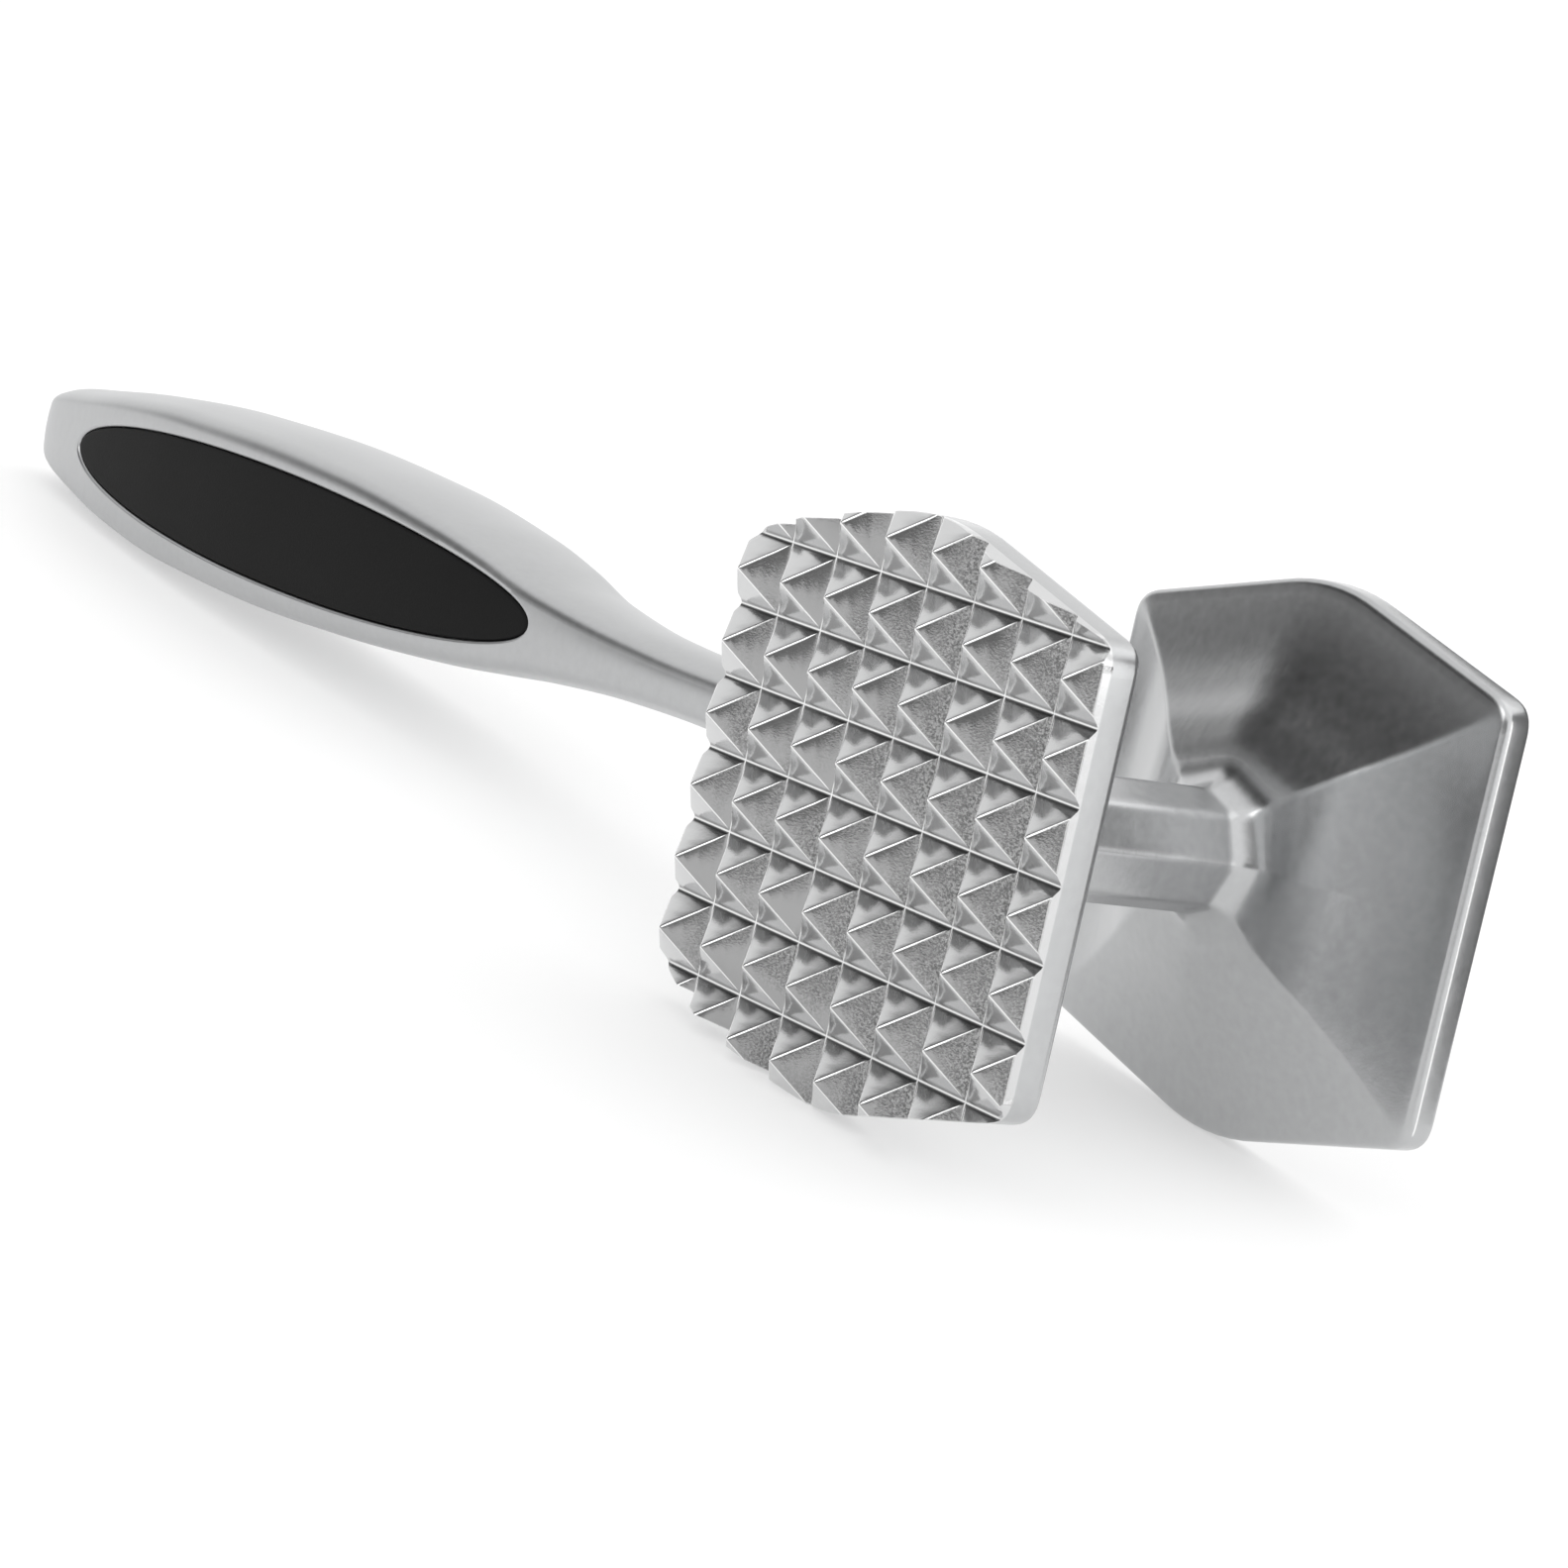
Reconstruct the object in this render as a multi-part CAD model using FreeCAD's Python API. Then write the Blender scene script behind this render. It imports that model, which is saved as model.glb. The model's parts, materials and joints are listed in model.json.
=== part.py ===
import FreeCAD, Part
import math
import os
from FreeCAD import Vector

# Meat mallet, double-ended: a toothed plate and a smooth plate on one short bar, and a slim handle
# with soft inlays. Millimetres.
#
# The pieces are drawn in the tool's own directions and then laid down as the mallet lies on a table.
#   x  along the handle: the head is at 0 and the handle runs towards -x
#   y  the striking direction: the teeth face -y and the smooth face looks to +y
#   z  across the head, up when the mallet lies on its side

os.makedirs("parts", exist_ok=True)

# ---------------------------------------------------------------- driving dimensions

# striking plates: straight sides, and top and bottom edges like a low gable with a rounded ridge
PLATE_HALF_X = 27.0        # middle to a straight side
PLATE_CORNER_Z = 21.2      # middle to a corner, up or down
GABLE_ANGLE = 14.8         # slope of the gable, degrees
GABLE_RADIUS = 24.0        # rounding of the gable's ridge
PLATE_CORNER_CUT = 1.2     # the four corners are knocked off by this much
RIM = 3.4                  # thickness of a plate at its edge
HEAD_SPAN = 51.7           # tooth roots to smooth face
FLARE_DEPTH = 7.4          # the hollow back of a plate, from its rim to the bar
FILLET = 3.2               # rounding where the flare runs into the bar

# teeth: pyramids left between two crossed sets of V grooves
TOOTH_PITCH = 7.0
TOOTH_HEIGHT = 3.1
GROOVES = 7                # grooves each way, centred on the plate
GROOVE_FLOOR = 0.36        # width of the flat at the bottom of a groove
OUTER_ROUND = 1.4          # the teeth's edge beside the handle is rounded back by this much

# neck bar: eight flats, with a corner straight up, straight down and at each side
BAR_CORNER = 6.26          # middle to a corner
CREASE_CUT = 0.3           # the creases from the bar's corners to the plate's corners start this narrow

# handle, as x, half width in z, half thickness in y, half height of the flat that faces the strike,
# and how far the middle line rises there: the grip sweeps up a little from the neck
HANDLE = (
    (-2.0, 3.85, 5.9, 1.8, 0.0),
    (-32.0, 3.80, 5.9, 1.8, 0.0),
    (-62.0, 3.75, 5.9, 1.8, 0.0),
    (-75.0, 4.05, 6.3, 2.2, 0.0),
    (-90.0, 5.30, 7.4, 3.5, 0.10),
    (-100.0, 6.85, 8.5, 5.2, 0.45),
    (-110.0, 8.35, 9.4, 6.4, 0.80),
    (-130.0, 10.20, 10.3, 7.9, 1.20),
    (-150.0, 11.00, 10.6, 8.4, 1.32),
    (-170.0, 10.60, 10.1, 8.1, 1.40),
    (-187.0, 9.20, 8.9, 6.9, 1.57),
    (-201.0, 7.30, 7.2, 5.2, 1.80),
    (-210.0, 5.80, 5.6, 4.0, 2.10),
    (-214.0, 4.60, 4.1, 2.9, 2.25),
    (-216.0, 3.15, 2.7, 1.8, 2.35),
    (-216.9, 1.50, 1.3, 0.8, 2.40),
)
HANDLE_STEP = 10.0         # distance between the handle's cross-sections

# inlays: an oval on each flat of the grip
INLAY_MID_X = -143.5
INLAY_RISE = 1.32          # middle of the oval above the tool's middle line
INLAY_TILT = 0.6           # the oval follows the grip's sweep, degrees
INLAY_HALF_LENGTH = 54.0
INLAY_HALF_WIDTH = 6.7
SKIN = 1.5                 # soft surface
CARRIER = 1.2              # hard base under it
INLAY_GAP = 0.05           # all round, between an inlay and its pocket
PEG_RADIUS = 1.5
PEG_LENGTH = 2.8
PEG_X = (-167.5, -119.5)

# hidden fixings of the handle
STUD_RADIUS = 2.5
STUD_LENGTH = 34.0
STUD_DEPTH_IN_BAR = 9.6    # from the bar's corner
STUD_THREAD_PITCH = 0.8
STUD_THREAD_DEPTH = 0.35
PIN_RADIUS = 1.0
PIN_BORE = 0.45            # a rolled spring pin is hollow
PIN_LOW_Z = -5.4
PIN_HIGH_Z = 3.4
PIN_X = -0.5

# ---------------------------------------------------------------- shared geometry

HALF_SPAN = HEAD_SPAN / 2
TOOTH_TIP_Y = -HALF_SPAN - TOOTH_HEIGHT
RIM_BACK = HALF_SPAN - RIM
FLARE_FOOT = RIM_BACK - FLARE_DEPTH


def polygon(points):
    """A closed wire through the points."""
    return Part.makePolygon(list(points) + [points[0]])


def prism(points, direction):
    """A solid: the polygon through the points, pulled along a direction."""
    return Part.Face(polygon(points)).extrude(direction)


def box(low, high):
    """A box between two corners."""
    size = high - low
    return Part.makeBox(size.x, size.y, size.z, low)


def gable(x, corner_x, corner_z, angle, radius):
    """Height of a gable over x: straight slopes with a rounded ridge."""
    slope = math.tan(math.radians(angle))
    ridge = radius * math.sin(math.radians(angle))
    straight = corner_z + (corner_x - abs(x)) * slope
    if abs(x) >= ridge or angle == 0:
        return straight
    tangent_height = corner_z + (corner_x - ridge) * slope
    return tangent_height + math.sqrt(radius ** 2 - x ** 2) - radius * math.cos(math.radians(angle))


def plate_section(y, share):
    """The head's outline at y. A share of 0 is the eight-sided bar and 1 is the plate's edge.

    The bar's corners run out to the plate's corners, to its gable ridges and to the middles of its sides.
    """
    def between(at_bar, at_plate):
        return at_bar + (at_plate - at_bar) * share
    slanted = BAR_CORNER * math.sin(math.radians(45))
    plate_ridge = PLATE_CORNER_Z + PLATE_HALF_X * math.tan(math.radians(GABLE_ANGLE))
    side_x = between(BAR_CORNER, PLATE_HALF_X)
    corner_x = between(slanted, PLATE_HALF_X)
    corner_z = between(slanted, PLATE_CORNER_Z)
    ridge_z = between(BAR_CORNER, plate_ridge)
    cut = between(CREASE_CUT, PLATE_CORNER_CUT)
    radius = between(1.0, GABLE_RADIUS)
    angle = math.degrees(math.atan2(ridge_z - corner_z, corner_x))
    end_x = corner_x - cut
    xs = [end_x * (1 - step / 6) for step in range(13)]
    upper = [Vector(x, y, gable(x, corner_x, corner_z, angle, radius)) for x in xs]
    side_high = Vector(corner_x + (side_x - corner_x) * cut / corner_z, y, corner_z - cut)
    side_middle = Vector(side_x, y, 0)

    def mirrored(p, sign_x, sign_z):
        return Vector(p.x * sign_x, p.y, p.z * sign_z)

    corners = [mirrored(side_high, 1, -1), side_middle, side_high, upper[0], upper[-1],
               mirrored(side_high, -1, 1), mirrored(side_middle, -1, 1), mirrored(side_high, -1, -1),
               mirrored(upper[-1], 1, -1), mirrored(upper[0], 1, -1)]
    edges = []
    for start, end in zip(corners, corners[1:] + corners[:1]):
        if start == upper[0]:
            edges.append(curve_through(upper))
        elif start == corners[-2]:
            edges.append(curve_through([mirrored(p, -1, -1) for p in upper]))
        else:
            edges.append(Part.LineSegment(start, end).toShape())
    return Part.Wire(edges)


def curve_through(points):
    """One smooth edge through the points."""
    curve = Part.BSplineCurve()
    curve.interpolate(points)
    return curve.toShape()


def loft(wires):
    return Part.makeLoft(wires, True, False)


def lay_down(shape):
    """Turn and lift a shape from the tool's directions to the way that the mallet lies."""
    return shape.transformed(RESTING.toMatrix(), True)


def save(name, shape):
    solids = lay_down(shape)
    solids.exportStep("parts/" + name + ".step")
    print(name, "solids", len(solids.Solids), "valid", solids.isValid(), "volume", round(solids.Volume, 1))


# ---------------------------------------------------------------- head

def flare(side):
    """The hollow back of a plate, with the fillet into the bar. side is -1 or +1 along y."""
    # share of the way from bar to edge, and height above the rim's back in parts of the flare's depth
    profile = ((0.0, 1.0 + FILLET / FLARE_DEPTH), (0.02, 1.14), (0.07, 1.03), (0.16, 0.96),
               (0.32, 0.78), (0.50, 0.50), (0.68, 0.26), (0.86, 0.09), (1.0, 0.0))
    wires = [plate_section(side * (RIM_BACK - FLARE_DEPTH * height), share) for share, height in profile]
    return loft(wires)


def rim_slab(low_y, high_y):
    """The plate's outline pulled from low_y to high_y."""
    return Part.Face(plate_section(low_y, 1.0)).extrude(Vector(0, high_y - low_y, 0))


def groove_tool(along_x):
    """The V grooves of one direction, as one shape to cut away."""
    reach = PLATE_HALF_X + TOOTH_PITCH
    half_floor = GROOVE_FLOOR / 2
    over = 1.1                     # the cutter stands this much past the tooth tips, in tooth heights
    half_top = half_floor + (TOOTH_PITCH / 2 - half_floor) * over
    top_y = -HALF_SPAN - TOOTH_HEIGHT * over
    cutters = []
    for index in range(GROOVES):
        middle = (index - (GROOVES - 1) / 2) * TOOTH_PITCH
        outline = ((middle - half_floor, -HALF_SPAN), (middle + half_floor, -HALF_SPAN),
                   (middle + half_top, top_y), (middle - half_top, top_y))
        if along_x:
            points = [Vector(-reach, y, across) for across, y in outline]
            cutters.append(prism(points, Vector(2 * reach, 0, 0)))
        else:
            points = [Vector(across, y, -reach) for across, y in outline]
            cutters.append(prism(points, Vector(0, 0, 2 * reach)))
    return cutters


def teeth():
    """The block of pyramids on the toothed plate."""
    block = rim_slab(-HALF_SPAN, TOOTH_TIP_Y)
    # rounded edge beside the handle: a quarter ellipse, OUTER_ROUND wide and a tooth high
    steps = 6
    edge = []
    for step in range(steps + 1):
        turn = math.pi / 2 * step / steps
        x = -PLATE_HALF_X + OUTER_ROUND * (1 - math.cos(turn))
        edge.append(Vector(x, -HALF_SPAN - TOOTH_HEIGHT * math.sin(turn), -40))
    far = PLATE_HALF_X + 1
    keep = prism(edge + [Vector(far, TOOTH_TIP_Y, -40), Vector(far, -HALF_SPAN, -40)], Vector(0, 0, 80))
    block = block.common(keep)
    for along_x in (True, False):
        block = block.cut(groove_tool(along_x))
    return block


def socket():
    """The stud's blind hole in the bar and the pin's blind hole from below."""
    hole = Part.makeCylinder(STUD_RADIUS, STUD_DEPTH_IN_BAR + 1, Vector(-BAR_CORNER - 1, 0, 0),
                             Vector(1, 0, 0))
    pin_hole = Part.makeCylinder(PIN_RADIUS, PIN_HIGH_Z + BAR_CORNER + 1, Vector(PIN_X, 0, -BAR_CORNER - 1),
                                 Vector(0, 0, 1))
    return hole.fuse(pin_hole)


def head_casting():
    bar_end = FLARE_FOOT - FILLET
    bar = Part.Face(plate_section(-bar_end, 0.0)).extrude(Vector(0, 2 * bar_end, 0))
    body = bar.multiFuse([flare(-1), flare(1), rim_slab(-HALF_SPAN, -RIM_BACK), rim_slab(RIM_BACK, HALF_SPAN),
                          teeth()])
    return body.cut(socket())


# ---------------------------------------------------------------- handle

def handle_section(x, half_z, half_y, flat, rise, inset):
    """One cross-section: flats front and back, crowned top and bottom, and rounded edges between."""
    half_y = half_y - inset
    corner = min(0.30 * half_y, 0.9 * (half_z - flat) + 0.25)
    lean = 0.30 * corner
    flat_low = Vector(x, -half_y, -flat + lean)
    flat_high = Vector(x, -half_y, flat - lean)
    crown_start = Vector(x, -half_y + corner, flat + 0.62 * corner)
    crown_top = Vector(x, 0, half_z)
    edge_mid = Vector(x, -half_y + 0.27 * corner, flat + 0.26 * corner)

    def turned(p, sign_y, sign_z):
        return Vector(p.x, p.y * sign_y, p.z * sign_z)

    def raised(p):
        return p + Vector(0, 0, rise)

    def arc(a, b, c):
        return Part.Arc(raised(a), raised(b), raised(c)).toShape()

    def straight(a, b):
        return Part.LineSegment(raised(a), raised(b)).toShape()

    edges = [
        straight(flat_low, flat_high),
        arc(flat_high, edge_mid, crown_start),
        arc(crown_start, crown_top, turned(crown_start, -1, 1)),
        arc(turned(crown_start, -1, 1), turned(edge_mid, -1, 1), turned(flat_high, -1, 1)),
        straight(turned(flat_high, -1, 1), turned(flat_low, -1, 1)),
        arc(turned(flat_low, -1, 1), turned(edge_mid, -1, -1), turned(crown_start, -1, -1)),
        arc(turned(crown_start, -1, -1), turned(crown_top, 1, -1), turned(crown_start, 1, -1)),
        arc(turned(crown_start, 1, -1), turned(edge_mid, 1, -1), flat_low),
    ]
    return Part.Wire(edges)


def smooth_stations(rows, step):
    """Even stations along a curve that passes through every row without waves."""
    slopes = [[(q - p) / (b[0] - a[0]) for p, q in zip(a, b)] for a, b in zip(rows, rows[1:])]
    turns = [slopes[0]]
    for before, after in zip(slopes, slopes[1:]):
        turns.append([2 * p * q / (p + q) if p * q > 0 else 0.0 for p, q in zip(before, after)])
    turns.append(slopes[-1])
    made = []
    for a, b, turn_a, turn_b in zip(rows, rows[1:], turns, turns[1:]):
        length = b[0] - a[0]
        count = max(1, round(abs(length) / step))
        for i in range(count):
            t = i / count
            made.append([(2 * t ** 3 - 3 * t ** 2 + 1) * p + (t ** 3 - 2 * t ** 2 + t) * length * m
                         + (3 * t ** 2 - 2 * t ** 3) * q + (t ** 3 - t ** 2) * length * n
                         for p, q, m, n in zip(a, b, turn_a, turn_b)])
    return made + [rows[-1]]


def handle_body(inset=0.0):
    """The handle without pockets. An inset makes it thinner between its two flats, and drops its thin end."""
    stations = [row for row in smooth_stations(HANDLE, HANDLE_STEP) if row[2] > 2 * inset]
    return loft([handle_section(*row, inset) for row in stations])


def oval(side, gap):
    """An oval column through one half of the grip. side is -1 or +1 along y."""
    middle = Vector(INLAY_MID_X, 0, INLAY_RISE)
    ellipse = Part.Ellipse(middle, INLAY_HALF_LENGTH - gap, INLAY_HALF_WIDTH - gap)
    face = Part.Face(Part.Wire([ellipse.toShape()]))
    face.rotate(middle, Vector(1, 0, 0), 90)
    face.rotate(middle, Vector(0, 1, 0), INLAY_TILT)
    return face.extrude(Vector(0, side * 20.0, 0))


def pegs(side, radius, end_gap):
    """The two pegs of a carrier, reaching from its back into the core of the grip."""
    shapes = []
    for x in PEG_X:
        start = Vector(x, side * (core_y(x) + 0.5), INLAY_RISE)
        shapes.append(Part.makeCylinder(radius, PEG_LENGTH + 0.5 + end_gap, start, Vector(0, -side, 0)))
    return shapes


def core_y(x):
    """Half thickness of the grip's core, below the pockets, at x."""
    for (xa, _, ya, _, _), (xb, _, yb, _, _) in zip(HANDLE, HANDLE[1:]):
        if xb <= x <= xa:
            return ya + (yb - ya) * (x - xa) / (xb - xa) - SKIN - CARRIER
    raise ValueError("x is off the handle")


def cross_hole(shape):
    reach = 2 * BAR_CORNER
    return shape.cut(Part.makeCylinder(PIN_RADIUS, 2 * reach, Vector(PIN_X, 0, -reach), Vector(0, 0, 1)))


def stud():
    """The threaded stud: its thread is drawn as rings."""
    start = -BAR_CORNER + STUD_DEPTH_IN_BAR
    root = STUD_RADIUS - STUD_THREAD_DEPTH
    rings = int(STUD_LENGTH / STUD_THREAD_PITCH)
    outline = [Vector(start, 0, 0), Vector(start, 0, root)]
    for ring in range(rings):
        crest = start - (ring + 0.5) * STUD_THREAD_PITCH
        outline.append(Vector(crest, 0, STUD_RADIUS))
        outline.append(Vector(crest - STUD_THREAD_PITCH / 2, 0, root))
    outline.append(Vector(outline[-1].x, 0, 0))
    turned = Part.Face(polygon(outline)).revolve(Vector(0, 0, 0), Vector(1, 0, 0), 360)
    return cross_hole(turned)


def handle_casting(full, core, bar_clear):
    body = full.cut(bar_clear)
    for side in (-1, 1):
        pocket = oval(side, 0.0).cut(core)
        body = body.cut(pocket)
        body = body.cut(pegs(side, PEG_RADIUS, 0.2))
    stud_hole = Part.makeCylinder(STUD_RADIUS, STUD_LENGTH, Vector(-BAR_CORNER + STUD_DEPTH_IN_BAR, 0, 0),
                                  Vector(-1, 0, 0))
    return body.cut(stud_hole)


# ---------------------------------------------------------------- resting position

def lowest_z(shape, degrees):
    turned = shape.copy()
    turned.rotate(Vector(0, 0, 0), Vector(0, 1, 0), degrees)
    return turned.optimalBoundingBox(False).ZMin


def resting_place(plate, grip):
    """Tilt the tool until plate and grip are equally low, then set it on z = 0 about the box's middle."""
    low, high = 0.0, 12.0
    for _ in range(24):
        middle = (low + high) / 2
        # a positive turn about y lowers +x, so the handle at -x comes down with a negative one
        if lowest_z(grip, -middle) > lowest_z(plate, -middle):
            low = middle
        else:
            high = middle
    whole = Part.makeCompound([plate, grip])
    whole.rotate(Vector(0, 0, 0), Vector(0, 1, 0), -middle)
    bounds = whole.optimalBoundingBox(False)
    move = Vector(-(bounds.XMin + bounds.XMax) / 2, -(bounds.YMin + bounds.YMax) / 2, -bounds.ZMin)
    print("laid down by", round(middle, 3), "degrees; moved by", [round(v, 3) for v in move])
    return FreeCAD.Placement(move, FreeCAD.Rotation(Vector(0, 1, 0), -middle))


# ---------------------------------------------------------------- build

head = head_casting()
handle_full = handle_body()
handle_under_skin = handle_body(SKIN)
handle_core = handle_body(SKIN + CARRIER)
RESTING = resting_place(head, handle_full)

bar_end = FLARE_FOOT - FILLET
bar_solid = Part.Face(plate_section(-bar_end, 0.0)).extrude(Vector(0, 2 * bar_end, 0))
beyond_bar = box(Vector(0, -20, -20), Vector(20, 20, 20))

save("head_casting", head)
save("handle_casting", handle_casting(handle_full, handle_core, [bar_solid, beyond_bar]))
save("handle_stud", stud())

pin = Part.makeCylinder(PIN_RADIUS, PIN_HIGH_Z - PIN_LOW_Z, Vector(PIN_X, 0, PIN_LOW_Z))
pin = pin.cut(Part.makeCylinder(PIN_BORE, PIN_HIGH_Z - PIN_LOW_Z, Vector(PIN_X, 0, PIN_LOW_Z)))
save("lock_pin", pin)

for name, side in (("front", -1), ("rear", 1)):
    column = oval(side, INLAY_GAP)
    carrier = handle_under_skin.common(column).cut(handle_core)
    carrier = carrier.multiFuse([peg.common(handle_under_skin) for peg in pegs(side, PEG_RADIUS, 0.0)])
    save(name + "_inlay_carrier", carrier)
    save(name + "_inlay", handle_full.common(column).cut(handle_under_skin))
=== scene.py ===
# %% [markdown]
# # A cast meat mallet, lying on a pale table
# The mallet is a cast metal head with a toothed plate and a smooth plate on one short bar, and a slim
# cast handle with a soft black inlay on each flat of the grip. The CAD model gives the frame: where each
# piece sits and how big it is. Here every visible piece is made again as a finished mesh in the same
# frame, and gets its material.

# %% Load the frame
import bmesh
import bpy
import json
import math
import numpy as np
from mathutils import Matrix, Vector


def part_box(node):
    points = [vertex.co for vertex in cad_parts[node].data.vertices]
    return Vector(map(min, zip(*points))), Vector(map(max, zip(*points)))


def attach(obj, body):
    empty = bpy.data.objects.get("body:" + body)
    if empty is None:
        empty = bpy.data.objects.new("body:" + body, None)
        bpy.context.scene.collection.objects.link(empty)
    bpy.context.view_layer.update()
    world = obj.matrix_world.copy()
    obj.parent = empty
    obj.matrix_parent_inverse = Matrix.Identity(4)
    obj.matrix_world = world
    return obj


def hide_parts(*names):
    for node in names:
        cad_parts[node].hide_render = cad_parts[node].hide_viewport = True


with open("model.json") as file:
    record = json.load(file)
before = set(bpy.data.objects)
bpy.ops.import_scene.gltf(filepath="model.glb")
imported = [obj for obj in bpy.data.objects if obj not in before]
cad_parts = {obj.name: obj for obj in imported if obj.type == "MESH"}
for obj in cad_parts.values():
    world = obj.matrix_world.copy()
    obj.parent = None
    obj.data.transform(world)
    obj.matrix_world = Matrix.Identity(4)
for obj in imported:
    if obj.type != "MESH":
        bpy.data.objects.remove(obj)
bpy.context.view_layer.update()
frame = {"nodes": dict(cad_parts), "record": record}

# %% [markdown]
# ## The tool's own directions
# A mallet is easiest to draw upright: x along the handle with the head at 0, y the way it strikes, and
# z across. It lies tilted, though, because the wide head and the slimmer grip both touch the table. Two
# points of the frame give that tilt: the middle of the smooth face, which is on the tool's middle line,
# and the middle of an inlay, which is a known small rise above it. So the shapes below are drawn in the
# tool's own directions, in millimetres, and one matrix lays them down in metres.

# %% From the tool's directions to the frame
MM = 0.001
HEAD_SPAN = 51.7                 # roots of the teeth to the smooth face
HALF_SPAN = HEAD_SPAN / 2
INLAY_RISE = 1.32                # middle of an inlay above the tool's middle line

mounts = {mount["name"]: mount for mount in frame["record"]["mounts"]}
face_middle = Vector(mounts["smooth_face"]["pos_m"])
inlay_low, inlay_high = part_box("front_inlay")
inlay_middle = (inlay_low + inlay_high) / 2
reach = Vector((face_middle.x - inlay_middle.x, 0, face_middle.z - inlay_middle.z))
INLAY_MID_X = -math.sqrt((reach.length / MM) ** 2 - INLAY_RISE ** 2)
TILT = math.atan2(reach.z, reach.x) + math.atan2(INLAY_RISE, -INLAY_MID_X)
along = Vector((math.cos(TILT), 0, math.sin(TILT)))
strike = Vector((0, 1, 0))
across = along.cross(strike)
head_middle = face_middle - strike * HALF_SPAN * MM
tool_turn = Matrix((along, strike, across)).transposed().to_4x4()
TOOL = Matrix.Translation(head_middle) @ tool_turn @ Matrix.Scale(MM, 4)
print("tilt in degrees", round(math.degrees(TILT), 3), "inlay middle at x", round(INLAY_MID_X, 2))


# %% [markdown]
# ## Small helpers for meshes
# Most pieces here are skins over rings: the same number of points on every ring, one ring after another
# along the piece. That keeps the faces in tidy rows, so highlights run smoothly over them. Holes and teeth
# are then cut with a Boolean, which is exact about where two surfaces meet.

# %% Mesh helpers
def mesh_object(name, points, faces):
    """An object with a new mesh, with its faces turned outwards."""
    mesh = bpy.data.meshes.new(name)
    mesh.from_pydata([tuple(p) for p in points], [], faces)
    work = bmesh.new()
    work.from_mesh(mesh)
    bmesh.ops.remove_doubles(work, verts=work.verts, dist=0.0005)
    bmesh.ops.recalc_face_normals(work, faces=work.faces)
    work.to_mesh(mesh)
    work.free()
    obj = bpy.data.objects.new(name, mesh)
    bpy.context.scene.collection.objects.link(obj)
    return obj


def bands(rows, count):
    """Faces between neighbouring rings, for rows rings of count points each."""
    faces = []
    for row in range(rows - 1):
        for i in range(count):
            a, b = row * count + i, row * count + (i + 1) % count
            faces.append((a, b, b + count, a + count))
    return faces


def fan(first, count, middle):
    """Faces from the ring that starts at point first to the one point in its middle."""
    return [(first + i, first + (i + 1) % count, middle) for i in range(count)]


def skin(name, rings):
    """A closed solid through the rings. Each end is closed to the middle of its last ring."""
    count = len(rings[0])
    points = [p for ring in rings for p in ring]
    faces = bands(len(rings), count)
    for row, ring in ((0, rings[0]), (len(rings) - 1, rings[-1])):
        faces += fan(row * count, count, len(points))
        points.append(tuple(sum(p[k] for p in ring) / count for k in range(3)))
    return mesh_object(name, points, faces)


def combine(obj, operation, *others):
    """Applies Booleans to obj, in order, and removes the other objects."""
    for other in others:
        cut = obj.modifiers.new("cut", "BOOLEAN")
        cut.operation = operation
        cut.solver = "EXACT"
        cut.object = other
    settle(obj)
    for other in others:
        bpy.data.objects.remove(other)
    return obj


def settle(obj):
    """Turns an object's modifiers into its plain mesh."""
    graph = bpy.context.evaluated_depsgraph_get()
    mesh = bpy.data.meshes.new_from_object(obj.evaluated_get(graph))
    obj.modifiers.clear()
    old, obj.data = obj.data, mesh
    bpy.data.meshes.remove(old)
    return obj


def lay_down(obj, sharp_degrees):
    """Moves the mesh from the tool's millimetres to the frame, and shades it smooth with sharp corners."""
    obj.data.transform(TOOL)
    obj.data.name = obj.name
    work = bmesh.new()
    work.from_mesh(obj.data)
    bmesh.ops.remove_doubles(work, verts=work.verts, dist=0.000002)
    bmesh.ops.recalc_face_normals(work, faces=work.faces)
    work.to_mesh(obj.data)
    work.free()
    obj.data.shade_smooth()
    obj.data.set_sharp_from_angle(angle=math.radians(sharp_degrees))
    triangles = sum(len(p.vertices) - 2 for p in obj.data.polygons)
    print(obj.name, "triangles", triangles)
    return obj


def bend(a, corner, b, steps):
    """Points strictly between a and b on the soft curve that turns at the corner."""
    made = []
    for step in range(1, steps + 1):
        t = step / (steps + 1)
        point = ((1 - t) ** 2 * p + 2 * t * (1 - t) * q + t * t * r for p, q, r in zip(a, corner, b))
        made.append(tuple(point))
    return made


def smooth_at(table, at):
    """The row of the table at a first value, by a curve that passes through every row without waves."""
    keys = np.array([row[0] for row in table], float)
    rows = np.array([row[1:] for row in table], float)
    if keys[0] > keys[-1]:
        keys, rows = keys[::-1], rows[::-1]
    steps = np.diff(keys)[:, None]
    slopes = np.diff(rows, axis=0) / steps
    turns = np.zeros_like(rows)
    turns[0], turns[-1] = slopes[0], slopes[-1]
    same = slopes[1:] * slopes[:-1] > 0
    mixed = 2 * slopes[1:] * slopes[:-1] / np.where(same, slopes[1:] + slopes[:-1], 1)
    turns[1:-1] = np.where(same, mixed, 0)
    i = int(np.clip(np.searchsorted(keys, at) - 1, 0, len(keys) - 2))
    h = steps[i, 0]
    t = (at - keys[i]) / h
    return ((2 * t ** 3 - 3 * t ** 2 + 1) * rows[i] + (t ** 3 - 2 * t ** 2 + t) * h * turns[i]
            + (3 * t ** 2 - 2 * t ** 3) * rows[i + 1] + (t ** 3 - t ** 2) * h * turns[i + 1])


print("helpers ready")

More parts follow.
